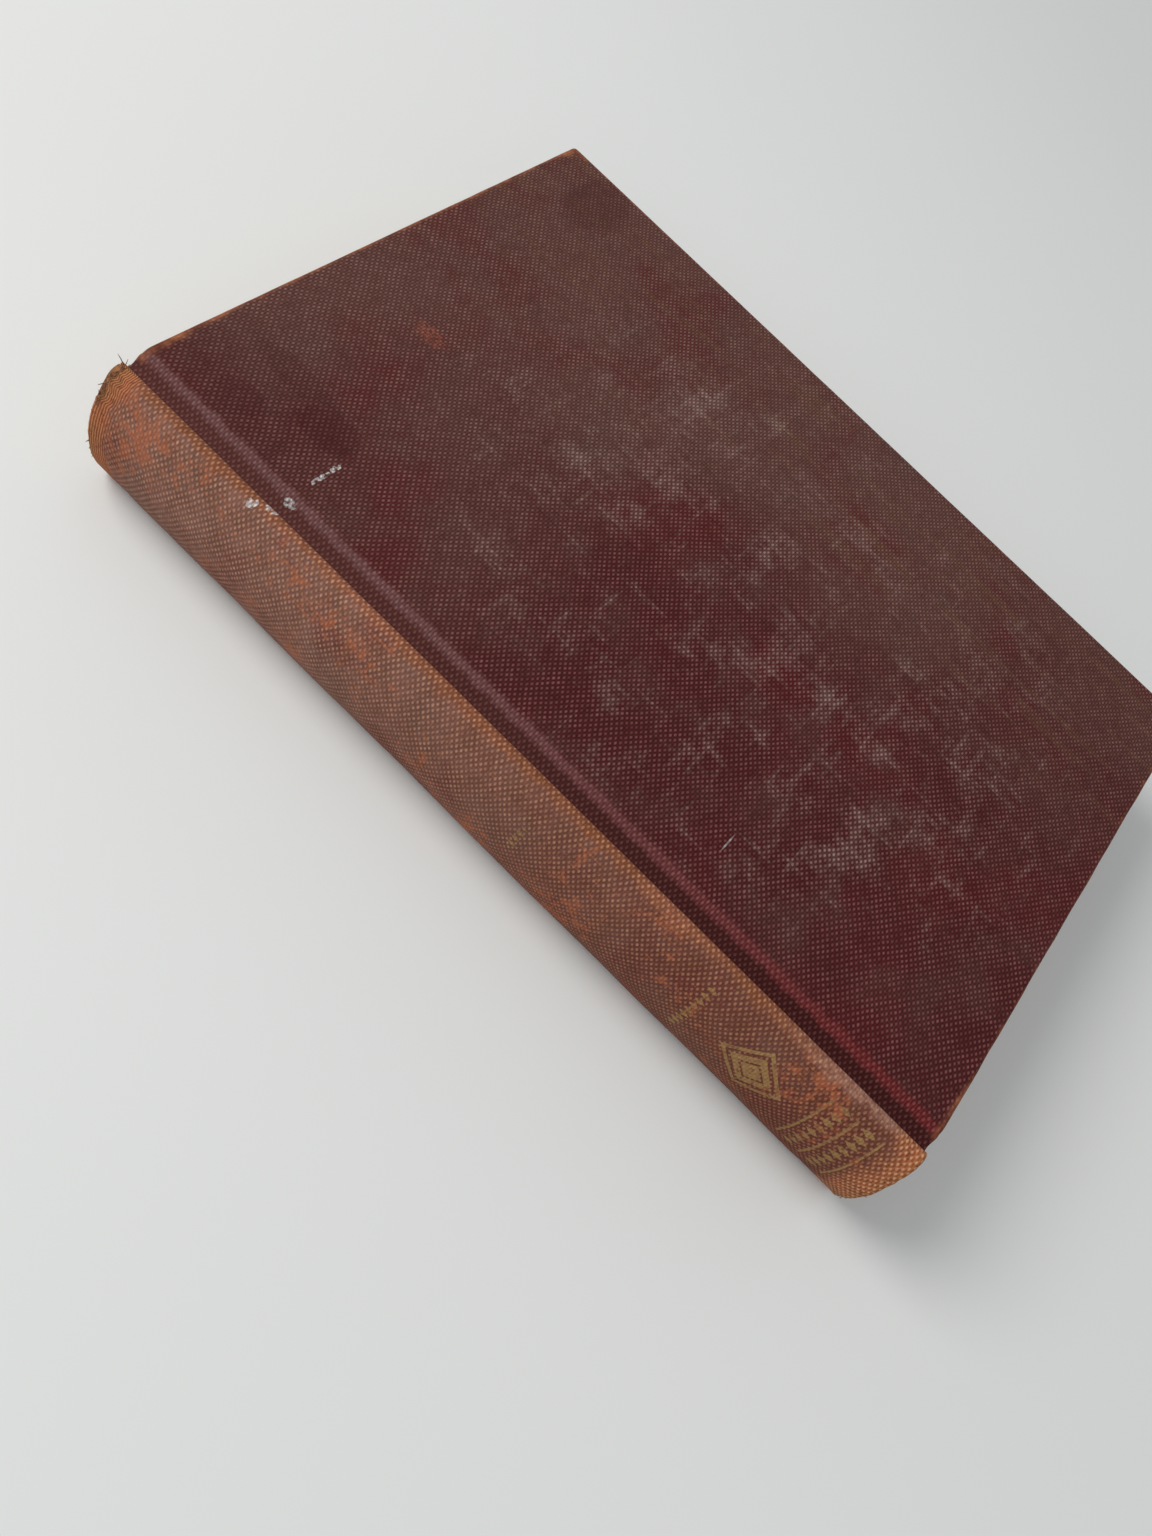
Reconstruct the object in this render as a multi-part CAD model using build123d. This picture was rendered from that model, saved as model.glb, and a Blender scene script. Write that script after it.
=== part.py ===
"""Cloth-bound hardback book, lying on its front cover with its back cover up.

Millimetres, +Z up. The origin is on the table, under the middle of the whole book. +X points to the
fore edge, -X to the rounded spine, +Y to the tail (the foot of the pages) and -Y to the head.

The book is a case binding with a hollow back. Two boards wrapped in cloth hang on flexible cloth
joints, one on each side of a rounded text block of sewn signatures. Each joint is a strip of cloth,
gauze and paper that lies in a groove. It bends as its cover turns through half a circle about a line
inside the ridge of the spine, so the opened cover clears the ridge. The leaves of the last signature
and the two free endpapers turn too, each about its own line near the fold.
"""

import math
import os

from build123d import *

# Whole book
COVER_HEIGHT = 203.0      # head to tail, outside the cloth
COVER_WIDTH = 132.0       # one board with its cloth, groove side to fore edge
THICKNESS = 30.0          # front cover to back cover
MIDDLE_Z = THICKNESS / 2

# Layers of a cover, from the outside in
CLOTH = 0.4
BOARD = 2.7
TURN_IN = 0.35            # cloth folded over onto the inner face of the board
TURN_IN_WIDTH = 15.0
GAUZE = 0.15              # the open-weave lining that ties the block to the boards
GAUZE_FLAP = 22.0         # how far the gauze reaches onto a board
PAPER = 0.15              # endpaper, pasted down
EDGE_RADIUS = 0.3

# Joint, measured from the groove side of the board, which is x = 0 in this section
GROOVE_LEVEL = 2.7        # depth of the groove below the outer face
STRIP_START = -4.6        # the foot of the ridge
STRIP_END = -1.0          # the board side of the bending strip

# Case spine
SPINE_BULGE = 13.2        # groove side of the board to the back of the spine
CREST_X = -6.6           # the ridge beside the groove
CREST_DROP = 0.1          # how far the ridge stays below the outer face of the board
CREST_RADIUS = 1.2        # groove side of the ridge
CORNER_RADIUS = 3.4       # spine side of the ridge
INLAY = 0.6               # card that stiffens the spine
SPINE_TURN_IN = 14.0

# Text block
SQUARE = 3.0              # how far the covers stand out past the leaves
BLOCK_GAP = 0.1           # air between a pasted-down endpaper and the block
SHOULDER_FOOT = -4.6      # where the folds start to lean outwards
FOLD_EDGE = -6.7         # fold of the outermost signature
FOLD_MIDDLE = -10.9       # fold of the middle signatures
FOLD_HALF_HEIGHT = 12.6   # half the thickness of the block across its folds
FORE_EDGE_HOLLOW = 3.6    # depth of the concave fore edge
FIXED_SIGNATURES = 15     # signatures 01 to 15
FREE_ENDPAPER = 0.2
LEAF_GROUPS = 4           # turning groups that make up signature 16
LEAF_GROUP = 0.33
LEAF_GAP = 0.02
LEAF_START = 4.5          # where the endpaper leaves its fold and is free to turn
LEAF_STAGGER = 0.5        # each group below it leaves the sewn fold this much further out
SLIT = 0.1                # clearance between a turning leaf and its fold

# Sewing and linings on the back of the folds
THREAD = 0.3
THREAD_WIDTH = 1.2
THREAD_STATIONS = 6
THREAD_SPAN = 160.0
LINING = 0.2
GAUZE_INSET = 12.0        # gauze stops this far from each end of the block
GAUZE_LANDING = 0.6       # how far it lies flat beside the joint

# Worked out from the dimensions above
BOOK_WIDTH = COVER_WIDTH + SPINE_BULGE
SHIFT_X = SPINE_BULGE - BOOK_WIDTH / 2
BLOCK_HEIGHT = COVER_HEIGHT - 2 * SQUARE
BOARD_INNER = THICKNESS - CLOTH - BOARD
TURN_IN_LEVEL = BOARD_INNER - TURN_IN
COVER_INNER = TURN_IN_LEVEL - PAPER
BLOCK_TOP = COVER_INNER - BLOCK_GAP
BLOCK_HALF = BLOCK_TOP - MIDDLE_Z
LEAF_EDGE = COVER_WIDTH - SQUARE
GROOVE_Z = THICKNESS - GROOVE_LEVEL
TURNING_STACK = FREE_ENDPAPER + LEAF_GAP + LEAF_GROUPS * (LEAF_GROUP + LEAF_GAP)
SWELL = FOLD_HALF_HEIGHT / BLOCK_HALF


def bar(outline, length, y=0.0):
    """A solid of this section in x and z, running along Y. The section's x = 0 is the board's edge."""
    points = [(x + SHIFT_X, z) for x, z in outline]
    face = make_face(Plane.XZ * Polyline(*points, close=True))
    return Pos(0, y, 0) * extrude(face, length / 2, both=True)


def slab(x_start, x_end, z_low, z_high, length, y=0.0):
    """A rectangular bar."""
    outline = [(x_start, z_low), (x_end, z_low), (x_end, z_high), (x_start, z_high)]
    return bar(outline, length, y)


def other_side(shape):
    """The same piece on the front cover's side of the book."""
    return mirror(shape, about=Plane.XY.offset(MIDDLE_Z))


# ---------------------------------------------------------------- covers

def board():
    """Grey board of the back cover, cut to fit inside its cloth."""
    length = COVER_HEIGHT - 2 * CLOTH
    return slab(CLOTH, COVER_WIDTH - CLOTH, BOARD_INNER, THICKNESS - CLOTH, length)


def cover_cloth():
    """Cloth over the back board: outer face, three wrapped edges with turn-ins, and the groove side."""
    outer = slab(0, COVER_WIDTH, TURN_IN_LEVEL, THICKNESS, COVER_HEIGHT)
    outer = fillet(outer.edges().group_by(Axis.Z)[-1], EDGE_RADIUS)
    outer += slab(STRIP_END, CLOTH, TURN_IN_LEVEL, GROOVE_Z, COVER_HEIGHT)
    window_length = COVER_HEIGHT - 2 * TURN_IN_WIDTH
    window_end = COVER_WIDTH - TURN_IN_WIDTH
    window = slab(STRIP_END - 1, window_end, TURN_IN_LEVEL - 1, BOARD_INNER, window_length)
    # On the groove side there is no turned-in cloth, so that the joint below it can bend.
    relief = slab(STRIP_END - 1, CLOTH / 2, TURN_IN_LEVEL - 1, BOARD_INNER, COVER_HEIGHT + 2)
    return outer - board() - window - relief


def pastedown():
    """Half of the endpaper, pasted on the back board. It steps over the turn-ins and the gauze."""
    length = COVER_HEIGHT - 2 * SQUARE
    inner_length = COVER_HEIGHT - 2 * TURN_IN_WIDTH
    window_end = COVER_WIDTH - TURN_IN_WIDTH
    start = CLOTH             # clear of the cloth on the groove side
    sheet = slab(start, LEAF_EDGE, COVER_INNER, BOARD_INNER, length)
    recess_length = inner_length - 2 * PAPER
    gauze_length = BLOCK_HEIGHT - 2 * GAUZE_INSET
    step = GAUZE_FLAP + PAPER
    over_gauze = slab(start, step, COVER_INNER, BOARD_INNER - GAUZE - PAPER, recess_length)
    over_board = slab(step, window_end - PAPER, COVER_INNER, BOARD_INNER - PAPER, recess_length)
    turned_cloth = slab(start, COVER_WIDTH, TURN_IN_LEVEL, BOARD_INNER, COVER_HEIGHT)
    turned_cloth -= slab(start - 1, window_end, TURN_IN_LEVEL, BOARD_INNER, inner_length)
    gauze = slab(start, GAUZE_FLAP, BOARD_INNER - GAUZE, BOARD_INNER, gauze_length)
    return sheet - over_gauze - over_board - turned_cloth - gauze


def gauze_flap():
    """Gauze glued to the inner face of the back board, under the pastedown, with its foot in the joint."""
    length = BLOCK_HEIGHT - 2 * GAUZE_INSET
    return slab(STRIP_END, GAUZE_FLAP, BOARD_INNER - GAUZE, BOARD_INNER, length)


# ---------------------------------------------------------------- joints

def joint_cloth():
    """Cloth at the bottom of the back groove, between the two lines where the joint bends."""
    return slab(STRIP_START, STRIP_END, BOARD_INNER, GROOVE_Z, COVER_HEIGHT)


def joint_gauze():
    """Gauze under the joint's cloth."""
    length = BLOCK_HEIGHT - 2 * GAUZE_INSET
    return slab(STRIP_START, STRIP_END, BOARD_INNER - GAUZE, BOARD_INNER, length)


def joint_paper():
    """The part of the endpaper that crosses the joint."""
    top = BOARD_INNER - GAUZE
    return slab(STRIP_START, STRIP_END, top - PAPER, top, BLOCK_HEIGHT)


# ---------------------------------------------------------------- case spine

def spine_arcs(depth):
    """Half of the case spine's line, from mid height up to the ridge, depth below the outer surface.

    Returns three-point arcs: a flat one for the back and a tighter one at its corner.
    """
    crest_z = THICKNESS - CREST_DROP
    corner = Vector(CREST_X, crest_z - CORNER_RADIUS)
    back = CREST_X + SPINE_BULGE
    rise = corner.Y - MIDDLE_Z
    # The back arc touches the corner arc: both centres and the touching point are in line.
    back_radius = (back ** 2 + rise ** 2 - CORNER_RADIUS ** 2) / (2 * (back - CORNER_RADIUS))
    centre = Vector(back_radius - SPINE_BULGE, MIDDLE_Z)
    towards = (corner - centre).normalized()
    touch = centre + towards * (back_radius - depth)
    half_turn = math.atan2(touch.Y - centre.Y, centre.X - touch.X) / 2
    mid_back = centre + Vector(-math.cos(half_turn), math.sin(half_turn)) * (back_radius - depth)
    crest = Vector(CREST_X, crest_z - depth)
    angle = (math.atan2(towards.Y, towards.X) + math.pi / 2) / 2
    mid_corner = corner + Vector(math.cos(angle), math.sin(angle)) * (CORNER_RADIUS - depth)
    start = Vector(depth - SPINE_BULGE, MIDDLE_Z)
    return [(start, mid_back, touch), (touch, mid_corner, crest)]


def ridge_flank(depth):
    """The cloth's line from the ridge down its groove side: an arc, then the points of straight runs."""
    ridge = Vector(CREST_X, THICKNESS - CREST_DROP - CREST_RADIUS)
    reach = Vector(STRIP_START, GROOVE_Z) - ridge
    lean = math.atan2(reach.Y, reach.X) + math.acos(CREST_RADIUS / reach.length)
    normal = Vector(math.cos(lean), math.sin(lean))
    half_lean = (lean + math.pi / 2) / 2
    crest = Vector(CREST_X, THICKNESS - CREST_DROP - depth)
    middle = ridge + Vector(math.cos(half_lean), math.sin(half_lean)) * (CREST_RADIUS - depth)
    top = ridge + normal * (CREST_RADIUS - depth)
    arc = (crest, middle, top)
    foot = Vector(STRIP_START, GROOVE_Z - depth)
    if depth == 0:
        return arc, [top, foot]
    # Below the surface the run reaches the foot's level before it reaches the foot.
    landing = top + Vector(normal.Y, -normal.X) * ((top.Y - foot.Y) / normal.X)
    return arc, [top, landing, foot]


def spine_shell(outer, inner, length, y=0.0, flanks=False):
    """A solid between two depths of the case spine's line, with or without the flanks of the ridges."""
    edges = []
    ends = []
    for depth in (outer, inner):
        for side in (1, -1):
            def place(p):
                return (p.X + SHIFT_X, MIDDLE_Z + side * (p.Y - MIDDLE_Z))
            arcs = spine_arcs(depth)
            route = [arcs[-1][2]]
            if flanks:
                arc, route = ridge_flank(depth)
                arcs.append(arc)
            edges += [ThreePointArc(place(a), place(b), place(c)) for a, b, c in arcs]
            edges += [Line(place(a), place(b)) for a, b in zip(route, route[1:])]
            ends.append(place(route[-1]))
    # ends holds outer upper, outer lower, inner upper and inner lower
    edges.append(Line(ends[0], ends[2]))
    edges.append(Line(ends[1], ends[3]))
    face = make_face([Plane.XZ * e for e in edges])
    return Pos(0, y, 0) * extrude(face, length / 2, both=True)


def spine_cloth():
    """Cloth over the case spine, folded in round the ends of the card at head and tail."""
    shell = spine_shell(0, CLOTH, COVER_HEIGHT, flanks=True)
    cap_y = (COVER_HEIGHT - CLOTH) / 2
    fold_y = (COVER_HEIGHT - SPINE_TURN_IN) / 2
    depth = CLOTH + INLAY
    for side in (1, -1):
        shell += spine_shell(CLOTH, depth, CLOTH, side * cap_y)
        shell += spine_shell(depth, depth + CLOTH, SPINE_TURN_IN, side * fold_y)
    return shell


def spine_inlay():
    """Card strip that keeps the hollow spine round."""
    return spine_shell(CLOTH, CLOTH + INLAY, COVER_HEIGHT - 2 * CLOTH)


# ---------------------------------------------------------------- text block

def fold_x(z):
    """Where the folds lie at this height, measured on the swollen back of the block."""
    sag = FOLD_EDGE - FOLD_MIDDLE
    radius = (FOLD_HALF_HEIGHT ** 2 + sag ** 2) / (2 * sag)
    return FOLD_MIDDLE + radius - math.sqrt(radius ** 2 - (z - MIDDLE_Z) ** 2)


def fore_x(z):
    """Where the leaves end at this height: the fore edge is hollow, as the back is round."""
    sag = FORE_EDGE_HOLLOW
    radius = (BLOCK_HALF ** 2 + sag ** 2) / (2 * sag)
    return LEAF_EDGE - sag + radius - math.sqrt(radius ** 2 - (z - MIDDLE_Z) ** 2)


def swollen(z):
    """The height that a leaf at height z has at its fold."""
    return MIDDLE_Z + (z - MIDDLE_Z) * SWELL


def fold_outline(z_low, z_high, end_low, end_high):
    """Section of a signature whose leaves end at these x, bent outwards to its fold at the back."""
    low, high = swollen(z_low), swollen(z_high)
    return [(end_low, z_low), (end_high, z_high), (SHOULDER_FOOT, z_high),
            (fold_x(high), high), (fold_x(low), low), (SHOULDER_FOOT, z_low)]


def signature(z_low, z_high):
    """One sewn signature, fold to fore edge."""
    return bar(fold_outline(z_low, z_high, fore_x(z_low), fore_x(z_high)), BLOCK_HEIGHT)


def turning_stack():
    """Start, top and bottom of each turning sheet: the endpaper first, then the groups of leaves."""
    levels = [(LEAF_START, BLOCK_TOP, BLOCK_TOP - FREE_ENDPAPER)]
    for number in range(1, LEAF_GROUPS + 1):
        z_high = levels[-1][2] - LEAF_GAP
        levels.append((LEAF_START + number * LEAF_STAGGER, z_high, z_high - LEAF_GROUP))
    return levels


def sewn_fold():
    """Fold of the last signature and the endpaper. It stays in the block while the leaves turn.

    Its free end is a flight of steps, one under each turning sheet's edge.
    """
    low, high = swollen(BLOCK_TOP - TURNING_STACK), swollen(BLOCK_TOP)
    outline = [(SHOULDER_FOOT, BLOCK_TOP), (fold_x(high), high), (fold_x(low), low)]
    outline += [(SHOULDER_FOOT, BLOCK_TOP - TURNING_STACK)]
    bottom = BLOCK_TOP - TURNING_STACK
    for start, z_high, _ in reversed(turning_stack()):
        outline += [(start - SLIT, bottom), (start - SLIT, z_high)]
        bottom = z_high
    return bar(outline, BLOCK_HEIGHT)


def endpaper_fold():
    """The part of the endpaper between its fold and the line about which its free half turns."""
    return slab(SHOULDER_FOOT, LEAF_START - SLIT, BLOCK_TOP - FREE_ENDPAPER, BLOCK_TOP, BLOCK_HEIGHT)


def turning_sheet(number):
    """The free endpaper, which is sheet 0, or a group of leaves, from the gutter to the fore edge."""
    start, z_high, z_low = turning_stack()[number]
    outline = [(start, z_low), (fore_x(z_low), z_low), (fore_x(z_high), z_high), (start, z_high)]
    return bar(outline, BLOCK_HEIGHT)


# ---------------------------------------------------------------- sewing and linings

def back_arc(offset, half_height):
    """Three points of the arc that runs offset behind the folds, up to half_height from the middle."""
    sag = FOLD_EDGE - FOLD_MIDDLE
    radius = (FOLD_HALF_HEIGHT ** 2 + sag ** 2) / (2 * sag)
    centre = FOLD_MIDDLE + radius
    reach = radius + offset
    x_end = centre - math.sqrt(reach ** 2 - half_height ** 2)
    return [(x_end, MIDDLE_Z - half_height), (centre - reach, MIDDLE_Z), (x_end, MIDDLE_Z + half_height)]


def back_band(inner, outer, half_height, length, y=0.0):
    """A curved band lying on the folds between two offsets."""
    lines = []
    for offset in (inner, outer):
        lines.append([(x + SHIFT_X, z) for x, z in back_arc(offset, half_height)])
    edges = [ThreePointArc(*line) for line in lines]
    edges += [Line(lines[0][0], lines[1][0]), Line(lines[0][2], lines[1][2])]
    face = make_face([Plane.XZ * e for e in edges])
    return Pos(0, y, 0) * extrude(face, length / 2, both=True)


def sewing_thread():
    """Rows of linked stitches across the folds."""
    reach = FOLD_HALF_HEIGHT - THREAD
    step = THREAD_SPAN / (THREAD_STATIONS - 1)
    places = [i * step - THREAD_SPAN / 2 for i in range(THREAD_STATIONS)]
    return Compound(children=[back_band(0, THREAD, reach, THREAD_WIDTH, y) for y in places])


def spine_gauze():
    """Gauze glued over the folds and down both shoulders to the joints."""
    length = BLOCK_HEIGHT - 2 * GAUZE_INSET
    top = FOLD_HALF_HEIGHT + GAUZE
    band = back_band(THREAD, THREAD + GAUZE, top, length)
    inner_end = back_arc(THREAD, top)[2]
    outer_end = back_arc(THREAD + GAUZE, top)[2]
    landing = STRIP_START - GAUZE_LANDING
    flank = bar([inner_end, outer_end, (outer_end[0], outer_end[1] + GAUZE),
                 (landing, BOARD_INNER), (STRIP_START, BOARD_INNER),
                 (STRIP_START, BOARD_INNER - GAUZE), (landing, BOARD_INNER - GAUZE)], length)
    return band + flank + other_side(flank)


def spine_lining():
    """Paper glued over the gauze on the back of the block."""
    start = THREAD + GAUZE
    return back_band(start, start + LINING, FOLD_HALF_HEIGHT - 2 * LINING, BLOCK_HEIGHT - SQUARE)


# ---------------------------------------------------------------- all the pieces

def build():
    """Every node's name and shape."""
    back_side = {
        "board": board(),
        "cover_cloth": cover_cloth(),
        "pastedown": pastedown(),
        "gauze_flap": gauze_flap(),
        "joint_cloth": joint_cloth(),
        "joint_gauze": joint_gauze(),
        "joint_paper": joint_paper(),
        "free_endpaper": turning_sheet(0),
    }
    nodes = {}
    for name, shape in back_side.items():
        nodes[f"back_{name}"] = shape
        nodes[f"front_{name}"] = other_side(shape)
    for number in range(1, LEAF_GROUPS + 1):
        nodes[f"back_leaves_{number}"] = turning_sheet(number)
    nodes["back_sewn_fold"] = sewn_fold()
    nodes["front_endpaper_fold"] = other_side(endpaper_fold())
    low = MIDDLE_Z - BLOCK_HALF + FREE_ENDPAPER + LEAF_GAP
    step = (MIDDLE_Z + BLOCK_HALF - TURNING_STACK - low) / FIXED_SIGNATURES
    for i in range(FIXED_SIGNATURES):
        nodes[f"signature_{i + 1:02d}"] = signature(low + i * step, low + (i + 1) * step)
    nodes["spine_cloth"] = spine_cloth()
    nodes["spine_inlay"] = spine_inlay()
    nodes["sewing_thread"] = sewing_thread()
    nodes["spine_gauze"] = spine_gauze()
    nodes["spine_lining"] = spine_lining()
    return nodes


os.makedirs("parts", exist_ok=True)
for node_name, node_shape in build().items():
    export_step(node_shape, f"parts/{node_name}.step")
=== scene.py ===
"""Looks of a worn cloth-bound hardback book that lies on its front cover.

Section coordinates are millimetres in the plane across the spine: x = 0 at the groove side of the
boards, +x to the fore edge, z up from the table. Cloth coordinates follow the cloth round the case:
s runs in millimetres from the middle of the spine over the ridge, groove and cover, positive on the
back cover's side, and y runs from the head (-) to the tail (+).
"""
import math
import random

import bpy
import numpy as np
from mathutils import Matrix, Vector, noise


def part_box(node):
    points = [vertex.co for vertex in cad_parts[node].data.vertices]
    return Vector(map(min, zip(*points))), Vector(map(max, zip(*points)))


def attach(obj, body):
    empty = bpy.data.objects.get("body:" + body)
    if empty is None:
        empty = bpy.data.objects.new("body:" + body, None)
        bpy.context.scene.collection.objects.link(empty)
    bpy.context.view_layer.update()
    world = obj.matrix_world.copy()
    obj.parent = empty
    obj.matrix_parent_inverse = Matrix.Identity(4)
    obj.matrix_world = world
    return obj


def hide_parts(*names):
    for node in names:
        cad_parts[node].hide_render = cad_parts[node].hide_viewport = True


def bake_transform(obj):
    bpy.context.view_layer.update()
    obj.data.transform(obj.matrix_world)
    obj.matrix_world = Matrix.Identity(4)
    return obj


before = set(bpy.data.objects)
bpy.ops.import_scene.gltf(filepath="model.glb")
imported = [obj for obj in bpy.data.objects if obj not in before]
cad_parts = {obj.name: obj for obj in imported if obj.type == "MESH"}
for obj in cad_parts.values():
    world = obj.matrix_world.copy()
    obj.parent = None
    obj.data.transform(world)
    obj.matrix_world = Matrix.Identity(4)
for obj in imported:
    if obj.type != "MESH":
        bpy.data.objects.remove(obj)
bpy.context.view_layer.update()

MM = 0.001

# ---------------------------------------------------------------- sizes from the frame, in mm


def box(node):
    """Lowest and highest corner of a CAD node, in mm."""
    return [np.array(corner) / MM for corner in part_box(node)]


BOARD_LOW, BOARD_HIGH = box("back_board")
COVER_LOW, COVER_HIGH = box("back_cover_cloth")
JOINT_LOW, JOINT_HIGH = box("back_joint_cloth")
PAPER_LOW = box("back_joint_paper")[0]
SHEET_HIGH = box("back_free_endpaper")[1]
PASTED_LOW = box("back_pastedown")[0]
SPINE_LOW = box("spine_cloth")[0]

CLOTH = COVER_HIGH[2] - BOARD_HIGH[2]
ZERO_X = BOARD_LOW[0] - CLOTH                 # row x of the section's x = 0
TOP = COVER_HIGH[2]
MIDDLE = TOP / 2
HALF_HEIGHT = COVER_HIGH[1]
COVER_WIDTH = COVER_HIGH[0] - ZERO_X
WRAP_THICK = TOP - COVER_LOW[2] - 0.02         # a cover, as far as its turned-in cloth
BULGE = ZERO_X - SPINE_LOW[0]
GROOVE_FLOOR = JOINT_HIGH[2]
FOOT_X = JOINT_LOW[0] - ZERO_X                # foot of the ridge

# Shape of the case spine's section
CREST_X = -6.6
CREST_Z = TOP - 0.1
CORNER_RADIUS = 3.4
RIDGE_RADIUS = 1.2
SHELL = 1.4                                   # cloth, card and turned-in cloth together
JOINT_THICK = 0.7                             # two layers of cloth

# Seams between the three stretches of cloth, in section x
SPINE_SEAM = -5.1
COVER_SEAM = 1.4

CORNER = 1.2                                  # radius of a cover's corners, seen from above
EDGE = 0.8                                    # radius of its worn edges
TURN_IN = 3.5                                 # how much turned-in cloth is modelled
TURNED_WIDTH = 15.0                           # how far it really reaches, under the pastedown
MITRE = 0.3                                   # radius where the turned-in edges meet at a corner
MITRE_RUN = 12                                # how far from a corner the turned-in cloth slants to it
PRESSED = 0.06                                # how far the table presses the cloth in
BLUNT = 0.14                                  # how far a cover's worn edges wander in and out

# Where the case's cloth and the papers at a joint stop bending, in section x
BEND_END = 0.2
CURL = 11.5                                   # how far from its fold a turning sheet bends
FOLD_OVERLAP = 0.1                            # how far it reaches into its fold


# ---------------------------------------------------------------- the case's section

def arc(centre, radius, start, end, count):
    """Points along an arc, angles in radians."""
    angles = np.linspace(start, end, count)
    return [(centre[0] + radius * math.cos(a), centre[1] + radius * math.sin(a)) for a in angles]


def bezier(a, b, c, d, count):
    """Points along a cubic Bezier curve."""
    a, b, c, d = (np.array(p, float) for p in (a, b, c, d))
    points = []
    for t in np.linspace(0, 1, count):
        u = 1 - t
        points.append(tuple(u ** 3 * a + 3 * u * u * t * b + 3 * u * t * t * c + t ** 3 * d))
    return points


def case_line():
    """Upper half of the case's outer line, from the middle of the spine to the cover's flat."""
    corner = (CREST_X, CREST_Z - CORNER_RADIUS)
    back = CREST_X + BULGE
    rise = corner[1] - MIDDLE
    radius = (back ** 2 + rise ** 2 - CORNER_RADIUS ** 2) / (2 * (back - CORNER_RADIUS))
    centre = (radius - BULGE, MIDDLE)
    touch = math.atan2(corner[1] - centre[1], corner[0] - centre[0])
    line = arc(centre, radius, math.pi, touch, 30)
    line += arc(corner, CORNER_RADIUS, touch, math.pi / 2, 16)[1:]
    ridge = (CREST_X, CREST_Z - RIDGE_RADIUS)
    line += arc(ridge, RIDGE_RADIUS, math.pi / 2, math.radians(27), 9)[1:]
    # Down the flank, along the groove and up over the rounded edge of the board
    flank = line[-1]
    floor = (-3.7, GROOVE_FLOOR + 0.05)
    down = (flank[0] + 0.85, flank[1] - 1.6)
    line += bezier(flank, down, (floor[0] - 0.9, floor[1]), floor, 18)[1:]
    up = (floor[0] + 1.1, floor[1])
    line += bezier(floor, up, (-1.9, TOP - 0.12), (0.9, TOP - 0.03), 22)[1:]
    line += [(1.2, TOP - 0.02), (COVER_SEAM, TOP - 0.015)]
    return np.array(line)


LINE = case_line()
LENGTHS = np.concatenate([[0], np.cumsum(np.hypot(*np.diff(LINE, axis=0).T))])
GROOVE_SIDE = LINE[:, 0] > CREST_X


def s_at(x):
    """Cloth coordinate where the line passes section x, on the groove side of the ridge."""
    return float(np.interp(x, LINE[GROOVE_SIDE, 0], LENGTHS[GROOVE_SIDE]))


CREST_S = s_at(CREST_X)
EDGE_S = s_at(0)
SEAM_S = s_at(SPINE_SEAM)
END_S = s_at(COVER_SEAM)


def section(s):
    """Point and outward normal of the case's line at cloth coordinate s, on the back cover's side."""
    def at(length):
        return np.array([np.interp(length, LENGTHS, LINE[:, i]) for i in (0, 1)])
    step = 0.15
    along = at(min(s + step, END_S)) - at(max(s - step, 0))
    if s < step:
        along = np.array([0.0, 1.0])
    along /= np.linalg.norm(along)
    return at(s), np.array([-along[1], along[0]])


# ---------------------------------------------------------------- mesh helpers

def ripple(a, b, scale, seed):
    """Smooth repeatable unevenness from about -1 to 1."""
    return noise.noise(Vector((a / scale, b / scale, seed)))


def ease(value, low, high):
    """0 below low, 1 above high, smooth between."""
    t = min(max((value - low) / (high - low), 0), 1)
    return t * t * (3 - 2 * t)


def to_row(x, y, z, front=False):
    """Row coordinates in metres of a section point, mirrored onto the front cover's side if asked."""
    return ((x + ZERO_X) * MM, y * MM, (TOP - z if front else z) * MM)


def make_object(name, vertices, faces, material, flip=False, places=None, attribute="cloth",
                sharp=None):
    """A smooth-shaded mesh object in the row frame. Places are kept per vertex for its material."""
    mesh = bpy.data.meshes.new(name)
    mesh.from_pydata(vertices, [], [tuple(reversed(f)) for f in faces] if flip else faces)
    if places is not None:
        layer = mesh.attributes.new(attribute, "FLOAT_VECTOR", "POINT")
        layer.data.foreach_set("vector", np.array(places, np.float32).ravel())
    mesh.polygons.foreach_set("use_smooth", [True] * len(mesh.polygons))
    if sharp is not None:
        mesh.set_sharp_from_angle(angle=math.radians(sharp))
    mesh.materials.append(material)
    mesh.update()
    obj = bpy.data.objects.new(name, mesh)
    bpy.context.scene.collection.objects.link(obj)
    return obj


def grid_faces(rows, columns, start=0):
    """Quads of a grid of vertices, stored row by row."""
    faces = []
    for r in range(rows - 1):
        for c in range(columns - 1):
            a = start + r * columns + c
            faces.append((a, a + 1, a + columns + 1, a + columns))
    return faces


def solid_sheet(name, top, bottom, material, sharp=30, flip=False):
    """A closed solid between two grids of points, rows by columns."""
    rows, columns = len(top), len(top[0])
    vertices = [p for row in top for p in row] + [p for row in bottom for p in row]
    count = rows * columns
    faces = grid_faces(rows, columns)
    faces += [tuple(reversed(f)) for f in grid_faces(rows, columns, count)]
    rim = list(range(columns))
    rim += [r * columns + columns - 1 for r in range(1, rows)]
    rim += [(rows - 1) * columns + c for c in range(columns - 2, -1, -1)]
    rim += [r * columns for r in range(rows - 2, 0, -1)]
    for a, b in zip(rim, rim[1:] + rim[:1]):
        faces.append((b, a, a + count, b + count))
    places = np.array(vertices) / MM
    return make_object(name, vertices, faces, material, flip, places, "rest_place", sharp)


# ---------------------------------------------------------------- node helpers

def srgb(red, green, blue):
    """Linear colour of an 8-bit sRGB one."""
    shares = [channel / 255 for channel in (red, green, blue)]
    linear = [c / 12.92 if c < 0.04045 else ((c + 0.055) / 1.055) ** 2.4 for c in shares]
    return (*linear, 1.0)


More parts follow.
